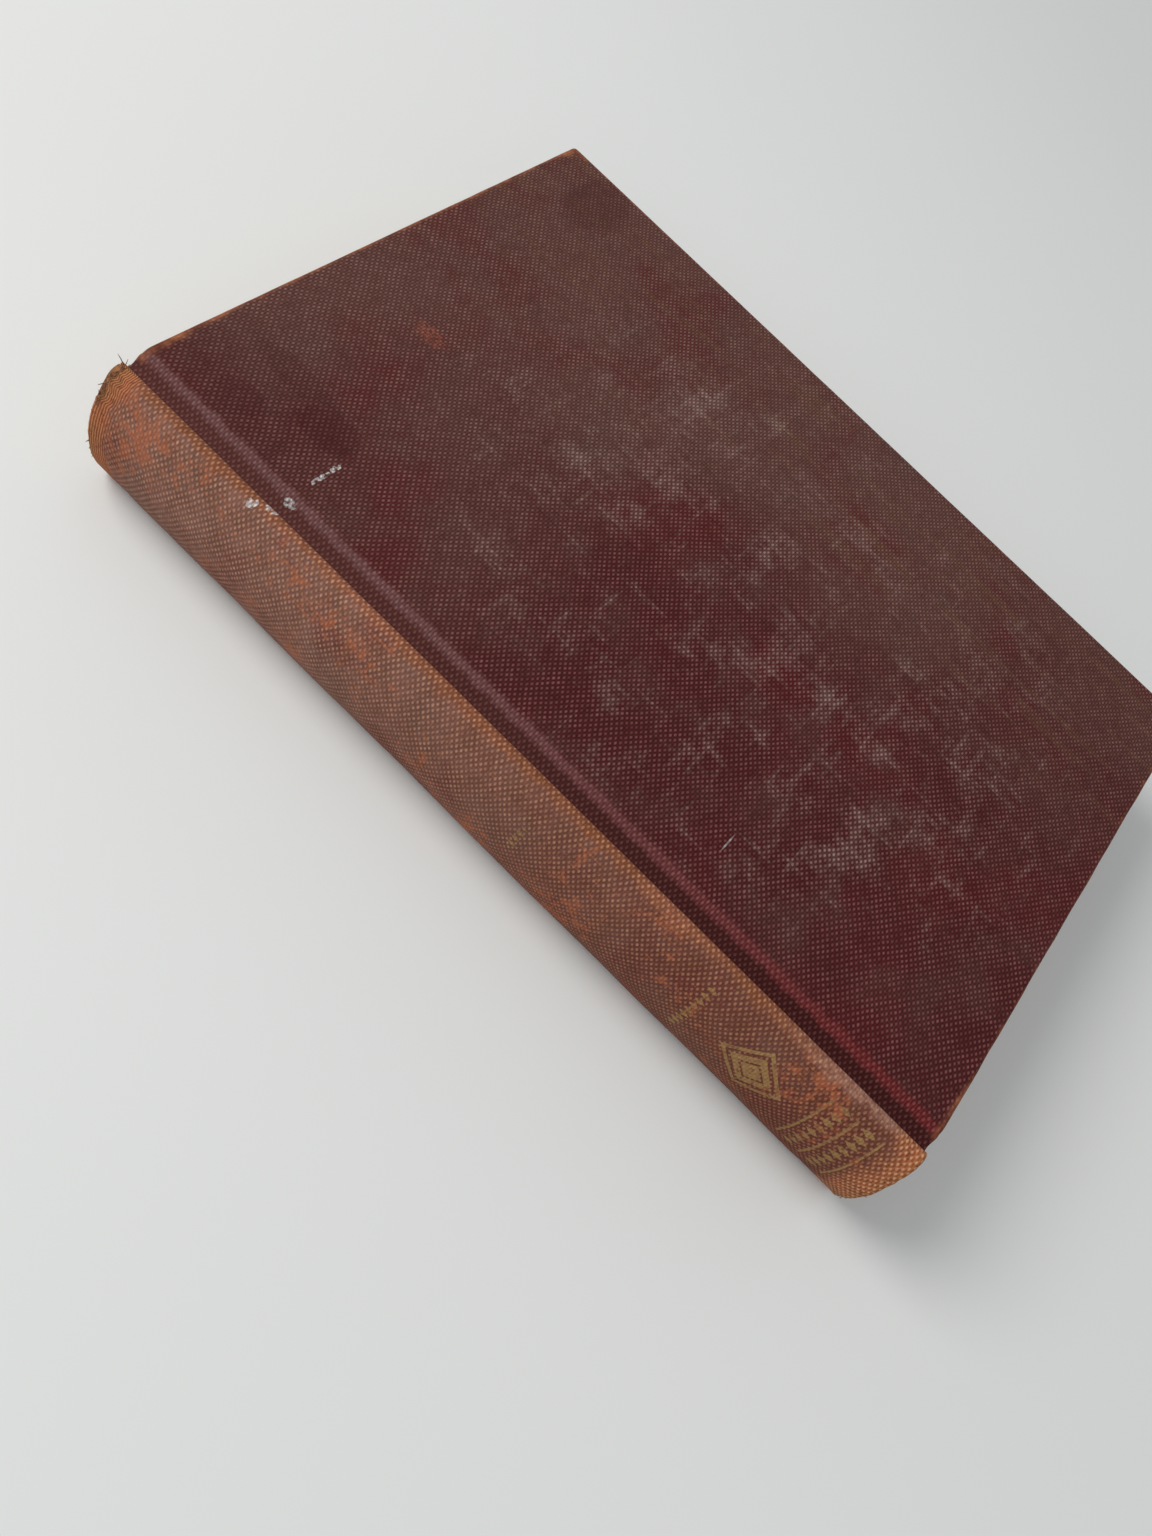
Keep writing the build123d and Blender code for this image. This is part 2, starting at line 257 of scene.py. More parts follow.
class Value:
    """A number in a material's node tree that can be added, multiplied and so on."""

    def __init__(self, shader, socket):
        self.shader = shader
        self.socket = socket

    def __add__(self, other):
        return self.shader.math("ADD", self, other)

    def __sub__(self, other):
        return self.shader.math("SUBTRACT", self, other)

    def __rsub__(self, other):
        return self.shader.math("SUBTRACT", other, self)

    def __mul__(self, other):
        return self.shader.math("MULTIPLY", self, other)

    def __truediv__(self, other):
        return self.shader.math("DIVIDE", self, other)

    __radd__ = __add__
    __rmul__ = __mul__


class Shader:
    """A material and the nodes that make it."""

    def __init__(self, name, roughness, specular, sheen=0.0):
        self.material = bpy.data.materials.new(name)
        self.material.use_nodes = True
        self.tree = self.material.node_tree
        self.surface = self.tree.nodes["Principled BSDF"]
        self.surface.inputs["Roughness"].default_value = roughness
        self.surface.inputs["Specular IOR Level"].default_value = specular
        self.surface.inputs["Sheen Weight"].default_value = sheen
        self.surface.inputs["Sheen Roughness"].default_value = 0.6

    def node(self, kind, inputs=(), **settings):
        """A new node, with its inputs by name or number and its settings by name."""
        node = self.tree.nodes.new(kind)
        for key, value in settings.items():
            setattr(node, key, value)
        for key, value in dict(inputs).items():
            self.feed(node.inputs[key], value)
        return node

    def feed(self, socket, value):
        """Links a value to a socket, or sets the socket where the value is a plain number."""
        if isinstance(value, Value):
            value = value.socket
        if isinstance(value, bpy.types.NodeSocket):
            self.tree.links.new(value, socket)
        else:
            socket.default_value = value

    def math(self, operation, *values):
        node = self.node("ShaderNodeMath", enumerate(values), operation=operation)
        return Value(self, node.outputs[0])

    def absolute(self, value):
        return self.math("ABSOLUTE", value)

    def larger(self, a, b):
        return self.math("MAXIMUM", a, b)

    def smaller(self, a, b):
        return self.math("MINIMUM", a, b)

    def ramp(self, value, low, high):
        """0 at low, 1 at high, smooth between. Low may be the larger."""
        inputs = {"Value": value, "From Min": low, "From Max": high}
        node = self.node("ShaderNodeMapRange", inputs, interpolation_type="SMOOTHSTEP", clamp=True)
        return Value(self, node.outputs[0])

    def vector(self, x, y, z=0.0):
        return self.node("ShaderNodeCombineXYZ", {"X": x, "Y": y, "Z": z}).outputs[0]

    def cloth_place(self):
        """Cloth coordinates s and y, in mm."""
        place = self.node("ShaderNodeAttribute", attribute_name="cloth").outputs["Vector"]
        parts = self.node("ShaderNodeSeparateXYZ", {"Vector": place})
        return Value(self, parts.outputs["X"]), Value(self, parts.outputs["Y"])

    def object_place(self):
        """Row coordinates x, y and z, in mm."""
        place = self.node("ShaderNodeTexCoord").outputs["Object"]
        parts = self.node("ShaderNodeSeparateXYZ", {"Vector": place})
        return [Value(self, parts.outputs[axis]) / MM for axis in "XYZ"]

    def rest_place(self):
        """Row coordinates x, y and z a bending sheet has when the book is closed, in mm."""
        place = self.node("ShaderNodeAttribute", attribute_name="rest_place").outputs["Vector"]
        parts = self.node("ShaderNodeSeparateXYZ", {"Vector": place})
        return [Value(self, parts.outputs[axis]) for axis in "XYZ"]

    def noise(self, x, y, size, seed=0.0, detail=3.0, rough=0.55, stretch=(1, 1)):
        """Cloudy noise from 0 to 1, whose blotches are about size mm across."""
        place = self.vector(x / (size * stretch[0]), y / (size * stretch[1]), seed)
        inputs = {"Vector": place, "Scale": 1.0, "Detail": detail, "Roughness": rough}
        return Value(self, self.node("ShaderNodeTexNoise", inputs).outputs["Fac"])

    def mix(self, amount, first, second, blend="MIX"):
        node = self.node("ShaderNodeMix", data_type="RGBA", blend_type=blend, clamp_factor=True)
        self.feed(node.inputs["Factor"], amount)
        self.feed(node.inputs[6], first)
        self.feed(node.inputs[7], second)
        return node.outputs[2]

    def spot(self, x, y, centre, radii):
        """1 inside an ellipse, fading to 0 at its rim."""
        dx = (x - centre[0]) / radii[0]
        dy = (y - centre[1]) / radii[1]
        return self.ramp(dx * dx + dy * dy, 1.0, 0.45)

    def soft_spot(self, x, y, centre, radii):
        """1 at the centre of an ellipse, fading evenly to 0 at its rim."""
        dx = (x - centre[0]) / radii[0]
        dy = (y - centre[1]) / radii[1]
        return self.ramp(dx * dx + dy * dy, 1.0, 0.0)

    def finish(self, color, height=None, distance=0.1, strength=1.0):
        """Colours the surface and gives it relief: distance mm for each 1 of height."""
        self.feed(self.surface.inputs["Base Color"], color)
        if height is not None:
            inputs = {"Height": height, "Distance": distance * MM, "Strength": strength}
            self.feed(self.surface.inputs["Normal"], self.node("ShaderNodeBump", inputs).outputs[0])
        return self.material


# ---------------------------------------------------------------- book cloth

DOT_PITCH = 1.74          # along s, between the light floats of the weave
DOT_ROW = 0.617           # along y, between rows
DOT_LONG = 0.36           # half length of a light float, along s
DOT_SHORT = 0.25          # its half width, along y
CROSS_LONG = 0.5          # the same for the threads that cross between the floats
CROSS_SHORT = 0.33
WHOLE = 4000              # even, and added so that the counts of rows and columns stay above 0

# The stamped ornament's middle along s, and the places of its rows, rules and lozenges along y
STAMP_S = 4.0
ROW_LOZENGES = (-91.5, -85.7)
RULES = (-94.3, -88.6, -83.0)
LARGE_LOZENGE = -70.5
SMALL_LOZENGES = -55.0
LAST_LOZENGES = -11.0


def weave(sh, s, y):
    """Light floats, the threads that cross them and the gaps of the weave, each from 0 to 1."""
    wander_s = sh.noise(s, y, 9, 3.1, detail=2) * 0.7
    wander_y = sh.noise(s, y, 11, 7.7, detail=2) * 0.5
    row = (y + wander_y) / DOT_ROW
    half_shift = sh.math("MODULO", sh.math("FLOOR", row + WHOLE), 2.0) * 0.5
    column = (s + wander_s) / DOT_PITCH + half_shift
    u = (sh.math("FRACT", column + WHOLE) - 0.5) * DOT_PITCH
    v = (sh.math("FRACT", row + WHOLE) - 0.5) * DOT_ROW
    size = sh.noise(s, y, 1.3, 5.0, detail=1) * 0.7 + 0.65
    reach_u = u / (size * DOT_LONG)
    reach_v = v / (size * DOT_SHORT)
    distance = reach_u * reach_u + reach_v * reach_v
    dots = sh.ramp(distance, 1.9, 0.1)
    # The crossing threads sit between the light ones, half a pitch along.
    other = (sh.math("FRACT", column + (WHOLE + 0.5)) - 0.5) * DOT_PITCH
    cross_u = other / CROSS_LONG
    cross_v = v / CROSS_SHORT
    cross = sh.ramp(cross_u * cross_u + cross_v * cross_v, 1.6, 0.2)
    gaps = 1 - sh.larger(dots, cross)
    return dots, cross, gaps


def two_stops(sh, position, first, second):
    """A colour between two sRGB ones: the first at position 0, the second at 1."""
    return sh.mix(position, srgb(*first), srgb(*second))


def stamped_ornament(sh, s, y):
    """Plain rules, rows of lozenges and one large lozenge across the spine, as a mask."""
    from_middle = s - STAMP_S
    across = sh.absolute(from_middle)
    inside = sh.ramp(across, 9.6, 9.3)
    # Whole lozenges keep their count above 0, and the half puts one in the middle of a row.
    shift = 100.5

    def lozenges(at, pitch, half_width, half_height):
        u = sh.absolute(sh.math("FRACT", from_middle / pitch + shift) - 0.5) * pitch
        v = sh.absolute(y - at)
        return sh.ramp(u / half_width + v / half_height, 1.05, 0.85) * inside

    def rule(at, half_height):
        return sh.ramp(sh.absolute(y - at), half_height, half_height * 0.7) * inside

    mask = lozenges(ROW_LOZENGES[0], 2.2, 0.85, 1.7)
    mask = sh.larger(mask, lozenges(ROW_LOZENGES[1], 2.2, 0.85, 1.5))
    for at in RULES:
        mask = sh.larger(mask, rule(at, 0.28))
    # The large lozenge: a middle with a thin line left bare in it, a gap and a border
    reach = across / 7.2 + sh.absolute(y - LARGE_LOZENGE) / 7.6
    border = sh.ramp(sh.absolute(reach - 0.92), 0.09, 0.06)
    middle = sh.ramp(reach, 0.7, 0.66) * sh.ramp(sh.absolute(reach - 0.38), 0.03, 0.06)
    mask = sh.larger(mask, sh.larger(border, middle))
    narrow = sh.ramp(across, 8.0, 7.7)
    mask = sh.larger(mask, lozenges(SMALL_LOZENGES, 1.8, 0.7, 1.25) * narrow)
    short = sh.ramp(across, 3.6, 3.2)
    return sh.larger(mask, lozenges(LAST_LOZENGES, 1.8, 0.65, 1.1) * short * 0.7)


def spine_color(sh, s, y, dots):
    """Sun-faded spine with rubbed patches. Its worn ridges, partly a painted highlight, and its worn
    caps are added on top in book_cloth.
    """
    along = sh.ramp(y, -95, 75) + (sh.noise(s, y, 26, 1.0) - 0.5) * 0.7
    base = two_stops(sh, along, (104, 55, 44), (138, 97, 84))
    grey = sh.ramp(sh.noise(s, y, 14, 12.0, detail=4), 0.45, 0.7)
    base = sh.mix(grey * 0.55, base, srgb(112, 84, 74))
    red = sh.ramp(sh.noise(s, y, 18, 31.0, detail=3), 0.5, 0.68) * 0.5
    base = sh.mix(red, base, srgb(104, 44, 42))
    light = two_stops(sh, along, (176, 122, 94), (200, 152, 128))
    mottled = sh.ramp(sh.noise(s, y, 5, 13.0, detail=6, rough=0.65), 0.35, 0.65)
    base = sh.mix(mottled * 0.4, base, srgb(96, 58, 40))
    patchy = sh.ramp(sh.noise(s, y, 3, 14.0, detail=5, rough=0.7), 0.3, 0.7) * 0.6 + 0.25
    color = sh.mix(dots * patchy, base, light)
    speck = sh.ramp(sh.noise(s, y, 0.7, 24.0, detail=3, stretch=(1, 0.6)), 0.6, 0.72)
    color = sh.mix(speck * 0.45, color, srgb(196, 118, 78))
    # Orange shows where the surface dye is rubbed off: in flecks, and in lines along and across.
    fleck = sh.noise(s, y, 2.6, 21.0, detail=6, rough=0.7)
    cloud = sh.noise(s, y, 17, 22.0, detail=3)
    rubbed = sh.ramp(fleck + (cloud - 0.5) * 1.0, 0.58, 0.72)
    line = sh.ramp(sh.noise(s, y, 2.2, 23.0, detail=4, stretch=(0.45, 6)), 0.57, 0.68)
    rubbed = sh.larger(rubbed, line * sh.ramp(cloud, 0.42, 0.6) * 0.8)
    color = sh.mix(rubbed * (dots * 0.4 + 0.45), color, srgb(186, 108, 72))
    return color, rubbed


def ridge_wear_and_highlight(sh, s, y, color, dots):
    """Tan threads along the ridge, pinkish towards the head, with darker cloth between them: partly
    wear, partly a painted highlight on the ridge's crest.
    """
    side = sh.absolute(s)
    uneven = (sh.noise(s, y, 6, 41.0, detail=5, rough=0.65) - 0.5) * 5.5
    reach = sh.ramp(sh.absolute(side - CREST_S + 0.3) + uneven, 2.5, 0.5)
    position = sh.ramp(sh.noise(s, y, 22, 43.0), 0.35, 0.65)
    # Painted highlight in part: the tan band is lighter where the ridge's crest catches the light, as
    # well as where it is worn.
    tan = two_stops(sh, position, (128, 76, 48), (150, 92, 68))
    tan = sh.mix(dots * 0.8, tan, two_stops(sh, position, (194, 138, 104), (212, 154, 122)))
    head = sh.ramp(y, -62, -88)
    tan = sh.mix(head * 0.6, tan, srgb(178, 138, 122))
    pits = sh.ramp(sh.noise(s, y, 1.1, 44.0, detail=3), 0.45, 0.62)
    tan = sh.mix(pits * 0.5, tan, srgb(112, 58, 40))
    return sh.mix(reach * 0.9, color, tan), reach


def worn_caps(sh, s, y, color, dots):
    """Bare, rubbed cloth where the spine's ends are handled."""
    side = sh.absolute(s)
    on_spine = sh.ramp(side, CREST_S + 2.2, CREST_S + 0.8)
    uneven = (sh.noise(s, y, 5, 51.0, detail=5) - 0.5) * 9
    reach = sh.ramp(sh.absolute(y) + uneven, HALF_HEIGHT - 7.5, HALF_HEIGHT - 3.5) * on_spine
    bare = two_stops(sh, sh.ramp(sh.noise(s, y, 8, 52.0), 0.35, 0.65), (132, 78, 44), (160, 84, 52))
    rim = sh.ramp(sh.absolute(y), HALF_HEIGHT - 3, HALF_HEIGHT)
    bare = sh.mix(rim * 0.5, bare, srgb(140, 98, 50))
    wave = sh.noise(s, y, 6, 54.0) * 5
    ribs = sh.ramp(sh.math("SINE", y * (2 * math.pi / DOT_ROW) + wave), -0.4, 0.7)
    at_tail = sh.ramp(y, -10, 10)
    bare = sh.mix(ribs * (at_tail * 0.35 + 0.25), bare, srgb(212, 146, 104))
    bare = sh.mix(dots * (1 - at_tail) * 0.7, bare, srgb(222, 168, 130))
    dirt = sh.ramp(sh.noise(s, y, 1.6, 53.0, detail=5, rough=0.7), 0.52, 0.66)
    bare = sh.mix(dirt * 0.6, bare, srgb(98, 52, 36))
    return sh.mix(reach * 0.94, color, bare), reach


def groove_color(sh, s, y, color, dots):
    """Dark cloth in the groove, partly its own colour and partly painted shade, and the slope of the
    board beside it: crimson towards the head, its paler floats and ribs partly a painted highlight on
    the board's rounded edge.
    """
    side = sh.absolute(s)
    along = sh.ramp(y, -80, 80)
    # The groove's dark colours are partly the cloth's own and partly painted shade of the groove.
    dark = two_stops(sh, along, (62, 24, 24), (92, 50, 46))
    dark = sh.mix(dots * 0.55, dark, two_stops(sh, along, (116, 66, 60), (134, 94, 88)))
    uneven = (sh.noise(s, y, 3, 62.0, detail=4) - 0.5) * 2.2
    place = side + uneven
    in_groove = sh.ramp(place, CREST_S + 1.3, CREST_S + 2.3) * sh.ramp(place, EDGE_S - 1.4, EDGE_S - 2.6)
    color = sh.mix(in_groove * 0.9, color, dark)
    towards_tail = sh.ramp(y, -95, 40)
    # The slope's paler, pinker colours, floats and ribs are partly the cloth's own and partly a painted
    # highlight on the board's rounded edge.
    slope = two_stops(sh, towards_tail, (98, 24, 28), (102, 66, 66))
    slope = sh.mix(dots * 0.6, slope, two_stops(sh, towards_tail, (152, 84, 80), (152, 114, 110)))
    ribs = sh.ramp(sh.math("SINE", y * (2 * math.pi / DOT_ROW)), -0.3, 0.7)
    slope = sh.mix(ribs * 0.35, slope, two_stops(sh, towards_tail, (142, 70, 68), (144, 104, 102)))
    on_slope = sh.ramp(place, EDGE_S - 2.6, EDGE_S - 1.4) * sh.ramp(place, EDGE_S + 0.7, EDGE_S - 0.7)
    return sh.mix(on_slope * 0.8, color, slope)


def board_color(sh, s, y, dots, gaps):
    """The cover's flat: dark red cloth with pale floats, browner towards the fore edge and the tail."""
    side = sh.absolute(s)
    x = side - EDGE_S
    drift = (sh.noise(s, y, 45, 71.0, detail=4) - 0.5) * 1.1
    ruddy = sh.soft_spot(x, y, (44, -12), (62, 60)) * 0.3
    pale = sh.ramp((y + 70) / 260 + x / 165 + drift - ruddy, 0.15, 0.95)
    base = two_stops(sh, pale, (76, 28, 28), (98, 62, 55))
    red = sh.ramp(sh.noise(s, y, 30, 72.0, detail=3), 0.48, 0.66)
    base = sh.mix(red * 0.5, base, srgb(92, 24, 26))
    grey = sh.ramp(sh.noise(s, y, 16, 73.0, detail=5), 0.46, 0.7)
    base = sh.mix(grey * 0.4, base, srgb(88, 62, 56))
    umber = sh.ramp(sh.noise(s, y, 5, 75.0, detail=5, stretch=(0.6, 6)), 0.5, 0.66)
    base = sh.mix(umber * sh.ramp(x, 60, 115) * 0.5, base, srgb(104, 74, 52))
    base = sh.mix(gaps * 0.55, base, srgb(46, 16, 18))
    float_color = two_stops(sh, pale, (134, 84, 82), (138, 104, 96))
    strength = sh.ramp(sh.noise(s, y, 3.5, 74.0, detail=4), 0.25, 0.75) * 0.75 + 0.2
    color = sh.mix(dots * strength, base, float_color)
    return color, x


# Centres and radii of the most rubbed places of the back cover, from its spine edge and mid-height
SCUFFED = [
    ((36, -50), (24, 20)),
    ((68, -52), (28, 20)),
    ((50, -28), (36, 16)),
    ((74, -4), (34, 10)),
    ((86, 26), (34, 24)),
    ((58, 34), (20, 18)),
    ((53, -70), (18, 14)),
]


def scuffs(sh, s, y, x, dots):
    """Whitish rubbing that follows the threads, mostly in the middle of the cover."""
    middle = sh.spot(x, y, (66, -14), (78, 100))
    along_x = sh.noise(s, y, 4, 81.0, detail=5, rough=0.65, stretch=(3.2, 0.5))
    along_y = sh.noise(s, y, 4, 82.0, detail=5, rough=0.65, stretch=(0.5, 3.0))
    streaks = sh.larger(along_x, along_y)
    clouds = sh.noise(s, y, 13, 83.0, detail=5, rough=0.6)
    worst = sh.ramp(s, -1, -2) * 0.3
    for centre, radii in SCUFFED:
        worst = sh.larger(worst, sh.soft_spot(x, y, centre, radii) * sh.ramp(s, 0, 1))
    rubbed = sh.ramp(streaks + (clouds - 0.5) * 0.9 + worst * 0.07, 0.53, 0.92) * middle
    lines = sh.noise(s, y, 2.4, 84.0, detail=3, stretch=(16, 0.3))
    rubbed = sh.larger(rubbed, sh.ramp(lines, 0.64, 0.76) * middle * 0.5)
    return rubbed * (dots * 0.8 + 0.2)


def stains(sh, s, y, x):
    """Old drips near the tail and joint, and a darker corner."""
    shape = (sh.noise(s, y, 6, 91.0, detail=3) - 0.5) * 2.5
    drip = sh.spot(x + shape, y + shape, (15.5, 69.5), (5.6, 8.2))
    trail = sh.spot(x + shape, y, (19.5, 82), (4.0, 15)) * 0.6
    second = sh.spot(x + shape, y + shape, (6.5, 84), (5.2, 7)) * 0.8
    corner = sh.spot(x + shape * 2, y + shape * 2, (121, 85), (13, 9)) * 0.7
    marks = sh.larger(sh.larger(drip, trail), sh.larger(second, corner))
    tail_band = sh.ramp(x, 34, 4) * sh.ramp(y, 66, 96) * 0.4
    return sh.larger(marks, tail_band) * sh.ramp(s, 0, 1)


def paint_flecks(sh, s, y, x):
    """Flecks of white paint in a line from the ridge onto the back cover, and one white scratch."""
    grain = sh.noise(s, y, 0.9, 95.0, detail=2)
    places = [((-2.2, 61.5), (1.3, 1.6)), ((6.3, 62.1), (3.2, 0.7)), ((10.3, 62.2), (1.7, 0.8))]
    ridge = CREST_S - EDGE_S
    places += [((ridge + 0.4, 61.8), (1.4, 1.7)), ((ridge - 1.6, 65.0), (1.5, 1.3))]
    zone = sh.spot(x, y, *places[0])
    for place in places[1:]:
        zone = sh.larger(zone, sh.spot(x, y, *place))
    flecks = sh.ramp(grain + zone * 0.3, 0.68, 0.84) * sh.ramp(zone, 0.02, 0.2)
    scratch = sh.spot(x, y, (11.8, -39.4), (2.7, 0.22)) * 0.5
    return sh.larger(flecks, scratch) * sh.ramp(s, 0, 1)


def scraped_mark(sh, s, y, x):
    """A grainy mark near the back cover's tail, where the dye is scraped off."""
    grain = sh.noise(s, y, 0.9, 97.0, detail=5, rough=0.7, stretch=(0.6, 1.8))
    place = sh.soft_spot(x, y, (52, 76.5), (3.2, 5))
    return place * sh.ramp(grain, 0.42, 0.66) * sh.ramp(s, 0, 1)


def worn_board_edges(sh, s, y, x, color):
    """Orange-brown wear along a cover's edges and corners."""
    from_ends = sh.absolute(y) - HALF_HEIGHT + 1.1
    from_fore = x - COVER_WIDTH + 1.1
    reach = sh.smaller(sh.larger(from_ends, from_fore), 1.1)
    both = sh.ramp(from_ends, -9, 0) * sh.ramp(from_fore, -9, 0)
    uneven = (sh.noise(s, y, 3.2, 101.0, detail=5, rough=0.7) - 0.5) * 2.6
    near_joint = sh.ramp(x, 22, 2) * 0.8
    at_tail = sh.ramp(y, 0, 90) * 0.5
    worn = sh.ramp(reach + uneven + both * 1.3 + near_joint + at_tail, 0.1, 1.6)
    mottle = sh.ramp(sh.noise(s, y, 5, 102.0, detail=5), 0.35, 0.65)
    bare = two_stops(sh, mottle, (118, 66, 50), (178, 112, 76))
    on_board = sh.ramp(x, -3.5, -1.5)
    return sh.mix(worn * on_board * 0.75, color, bare)


def book_cloth():
    """The whole case's cloth, by cloth coordinates."""
    sh = Shader("book_cloth", roughness=0.9, specular=0.12)
    s, y = sh.cloth_place()
    dots, cross, gaps = weave(sh, s, y)
    color, x = board_color(sh, s, y, dots, gaps)
    rubbed = scuffs(sh, s, y, x, dots)
    color = sh.mix(rubbed * 0.8, color, srgb(172, 146, 137))
    color = sh.mix(stains(sh, s, y, x) * 0.42, color, srgb(66, 20, 24))
    color = sh.mix(scraped_mark(sh, s, y, x) * 0.7, color, srgb(168, 92, 66))
    color = groove_color(sh, s, y, color, dots)
    color = worn_board_edges(sh, s, y, x, color)
    back, bare = spine_color(sh, s, y, dots)
    gold = stamped_ornament(sh, s, y)
    wear = sh.ramp(sh.noise(s, y, 2.0, 111.0, detail=5, rough=0.7), 0.32, 0.5)
    back = sh.mix(gold * wear * (1 - bare * 0.7) * 0.75, back, srgb(166, 132, 82))
    side = sh.absolute(s)
    color = sh.mix(sh.ramp(side, CREST_S + 2.2, CREST_S + 0.9), color, back)
    # The ridge's tan band: wear and a painted highlight.
    color, ridge = ridge_wear_and_highlight(sh, s, y, color, dots)
    color, cap = worn_caps(sh, s, y, color, dots)
    color = sh.mix(paint_flecks(sh, s, y, x) * (dots * 0.5 + 0.4), color, srgb(222, 222, 220))
    grime = sh.ramp(sh.noise(s, y, 0.8, 121.0, detail=4), 0.3, 0.75) * 0.25
    color = sh.mix(grime, color, srgb(60, 34, 30), blend="MULTIPLY")
    threads = dots * 0.8 + cross * 0.45
    height = threads + sh.noise(s, y, 0.5, 122.0, detail=4) * 0.35 + (ridge + cap) * 0.15
    return sh.finish(color, height, distance=0.13, strength=0.9)


# ---------------------------------------------------------------- other materials

GAUZE_PITCH = 0.9         # between the gauze's threads


def paper(name, first, second, bends):
    """Aged paper, browned at its edges. The edges of the sewn block show its single leaves."""
    sh = Shader(name, roughness=0.9, specular=0.12)
    x, y, z = sh.rest_place() if bends else sh.object_place()
    cloud = sh.noise(x, y, 38, 2.0, detail=4)
    tone = two_stops(sh, sh.ramp(cloud, 0.3, 0.7), first, second)
    fox = sh.ramp(sh.noise(x, y, 3.5, 5.0, detail=4), 0.68, 0.8)
    tone = sh.mix(fox * 0.45, tone, srgb(150, 104, 62))
    rim = sh.larger(sh.absolute(y) - SHEET_HIGH[1], x - SHEET_HIGH[0])
    browned = sh.ramp(rim + (sh.noise(x, y, 9, 8.0) - 0.5) * 7, -9, 1)
    tone = sh.mix(browned * 0.5, tone, srgb(188, 148, 106))
    height = sh.noise(x + z * 3, y, 0.7, 3.0, detail=5)
    if not bends:
        bend = sh.noise(x + y, 0, 30, 9.0, detail=2) * 0.8
        fine = sh.noise(z + bend, (x + y) * 0.004, 0.11, 4.0, detail=2)
        coarse = sh.noise(z + bend, (x + y) * 0.01, 0.8, 6.0, detail=2)
        at_ends = sh.ramp(sh.absolute(y) - SHEET_HIGH[1], -0.6, -0.1)
        at_fore = sh.ramp(x - SHEET_HIGH[0], -5, -4.4)
        edge = sh.larger(at_ends, at_fore)
        dark = sh.ramp(fine * 0.65 + coarse * 0.35, 0.58, 0.38) * edge
        tone = sh.mix(dark * 0.7, tone, srgb(124, 86, 58))
        dust = sh.ramp(sh.noise(x + y, z, 7, 7.0, detail=5), 0.45, 0.7) * edge
        tone = sh.mix(dust * 0.35, tone, srgb(138, 112, 84))
        height = fine * edge * 2 + height * 0.3
    return sh.finish(tone, height, distance=0.06, strength=0.7)


def pasted_paper():
    """Endpaper pasted to a board, with the turned-in cloth and the gauze telling through."""
    sh = Shader("pasted_paper", roughness=0.9, specular=0.15)
    x, y, _ = sh.object_place()
    cloud = sh.ramp(sh.noise(x, y, 34, 12.0, detail=4), 0.3, 0.7)
    tone = two_stops(sh, cloud, (206, 184, 144), (222, 204, 168))
    fox = sh.ramp(sh.noise(x, y, 3.2, 15.0, detail=4), 0.67, 0.8)
    tone = sh.mix(fox * 0.5, tone, srgb(156, 108, 64))
    inset = sh.larger(sh.absolute(y) - HALF_HEIGHT, x - COVER_HIGH[0]) + TURNED_WIDTH
    step = sh.ramp(inset, -0.8, 0.4)
    tone = sh.mix(step * 0.3, tone, srgb(166, 128, 92))
    joint = sh.ramp(x, ZERO_X + 9, ZERO_X + 1)
    tone = sh.mix(joint * 0.45, tone, srgb(150, 118, 82))
    height = step * 2 + sh.noise(x, y, 0.6, 13.0, detail=5) * 0.5
    return sh.finish(tone, height, distance=0.12, strength=0.8)


def fibre_board(name, first, second):
    """Coarse grey-brown board or card."""
    sh = Shader(name, roughness=0.95, specular=0.1)
    x, y, z = sh.object_place()
    fibre = sh.noise(x, y, 1.2, 1.0, detail=6, rough=0.7, stretch=(1, 3))
    layers = sh.noise(z, (x + y) * 0.02, 0.25, 2.0)
    tone = two_stops(sh, sh.ramp(fibre * 0.6 + layers * 0.4, 0.35, 0.65), first, second)
    return sh.finish(tone, fibre, distance=0.1)


def open_weave():
    """Starched cotton gauze."""
    sh = Shader("gauze", roughness=0.92, specular=0.1)
    x, y, z = sh.object_place()
    mesh = 2 * math.pi / GAUZE_PITCH
    warp = sh.ramp(sh.math("SINE", (x + z) * mesh), -0.2, 0.7)
    weft = sh.ramp(sh.math("SINE", y * mesh), -0.2, 0.7)
    threads = sh.larger(warp, weft)
    tone = two_stops(sh, threads, (126, 100, 66), (206, 190, 152))
    stain = sh.ramp(sh.noise(x, y, 11, 4.0, detail=4), 0.4, 0.7)
    tone = sh.mix(stain * 0.4, tone, srgb(158, 122, 74))
    return sh.finish(tone, threads, distance=0.1)


def twisted_thread(name, first, second):
    """Linen thread, twisted along its length."""
    sh = Shader(name, roughness=0.8, specular=0.2, sheen=0.1)
    x, y, z = sh.object_place()
    twist = sh.ramp(sh.math("SINE", (x + z) * 14 + y * 22), -0.5, 0.6)
    tone = two_stops(sh, twist * 0.6 + sh.noise(x, z, 1.5, 2.0) * 0.4, first, second)
    return sh.finish(tone, twist, distance=0.06)


def floor_material():
    """Plain pale laminate."""
    sh = Shader("pale_floor", roughness=0.45, specular=0.4)
    x, y, _ = sh.object_place()
    tone = two_stops(sh, sh.noise(x, y, 300, 1.0, detail=2), (222, 223, 221), (229, 230, 228))
    return sh.finish(tone)


# ---------------------------------------------------------------- the case's cloth

